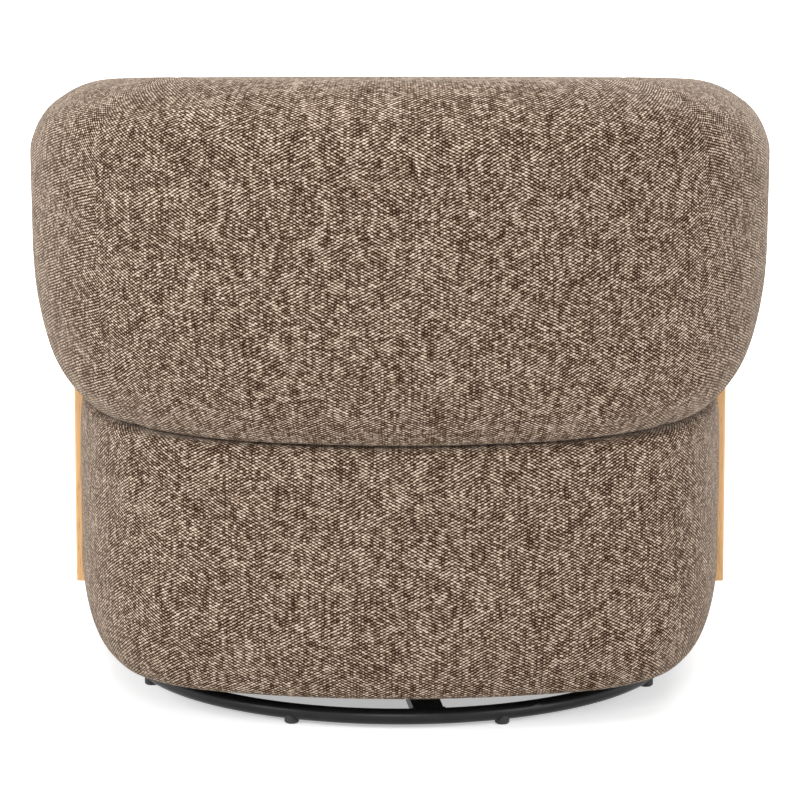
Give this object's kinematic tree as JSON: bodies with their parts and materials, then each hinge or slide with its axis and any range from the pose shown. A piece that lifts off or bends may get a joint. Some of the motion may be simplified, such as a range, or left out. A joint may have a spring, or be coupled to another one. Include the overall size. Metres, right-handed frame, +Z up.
{
  "type": "swivel rocker chair",
  "caption": "Upholstered barrel chair with a wrap-around padded back and oak side boards, on a ring base that swivels right round and rocks on springs.",
  "frame": {"origin": "floor level on the swivel axis, which is the centre of the overall box", "axes": "+Z up; the chair faces -Y at rest, with its back towards +Y; X runs across the seat"},
  "size_m": [0.8012, 0.8, 0.695],
  "materials": {
    "chenille": "chunky taupe and brown chenille, diagonal slubs, matt",
    "oak": "natural oak, fine straight grain, satin lacquer",
    "black_metal": "satin black powder coat",
    "black_nylon": "moulded black nylon",
    "cage_nylon": "natural moulded nylon",
    "zinc_steel": "bright zinc plated steel",
    "spring_steel": "oiled spring steel wire",
    "stop_rubber": "black rubber",
    "plywood": "raw birch plywood",
    "frame_timber": "sawn hardwood",
    "cambric": "black non-woven dust cover",
    "webbing": "elastic upholstery webbing"
  },
  "bodies": {
    "base": {"base_ring": "black_metal", "base_cross": "black_metal", "foot_studs": "black_nylon", "lower_swivel_plate": "zinc_steel", "bearing_balls": "zinc_steel", "ball_cage": "cage_nylon", "base_bolts": "zinc_steel", "base_nuts": "zinc_steel"},
    "rocker_carriage_body": {"upper_swivel_plate": "zinc_steel", "centre_pin": "zinc_steel", "rocker_carriage": "black_metal", "carriage_rivets": "zinc_steel", "stop_posts": "black_metal", "bump_stops": "stop_rubber", "lower_spring_cups": "zinc_steel", "pivot_axle": "zinc_steel", "axle_clips": "zinc_steel", "front_springs": "spring_steel", "rear_springs": "spring_steel"},
    "chair_body": {"rocker_frame": "black_metal", "upper_spring_cups": "zinc_steel", "pivot_bushes": "cage_nylon", "platform_bolts": "zinc_steel", "platform_nuts": "zinc_steel", "frame_posts": "frame_timber", "back_rail": "plywood", "arm_rails": "frame_timber", "seat_ring": "plywood", "platform_board": "plywood", "bottom_hoop": "plywood", "drum_shell": "plywood", "dust_cover": "cambric", "long_webbing": "webbing", "cross_webbing": "webbing", "drum_cover": "chenille", "left_board": "oak", "right_board": "oak", "board_screws": "zinc_steel", "wrap_bolster": "chenille", "seat_cushion": "chenille", "inside_back_pad": "chenille"}
  },
  "joints": [
    {"name": "swivel", "type": "hinge", "parent": "base", "child": "rocker_carriage_body", "pos_m": [0, 0, 0.0293], "axis": [0, 0, 1], "continuous": true},
    {"name": "rock", "type": "hinge", "parent": "rocker_carriage_body", "child": "chair_body", "pos_m": [0, 0, 0.112], "axis": [1, 0, 0], "range_deg": [-5, 5], "stiffness_Nm_per_rad": 600, "deforming": ["front_springs", "rear_springs"]}
  ]
}
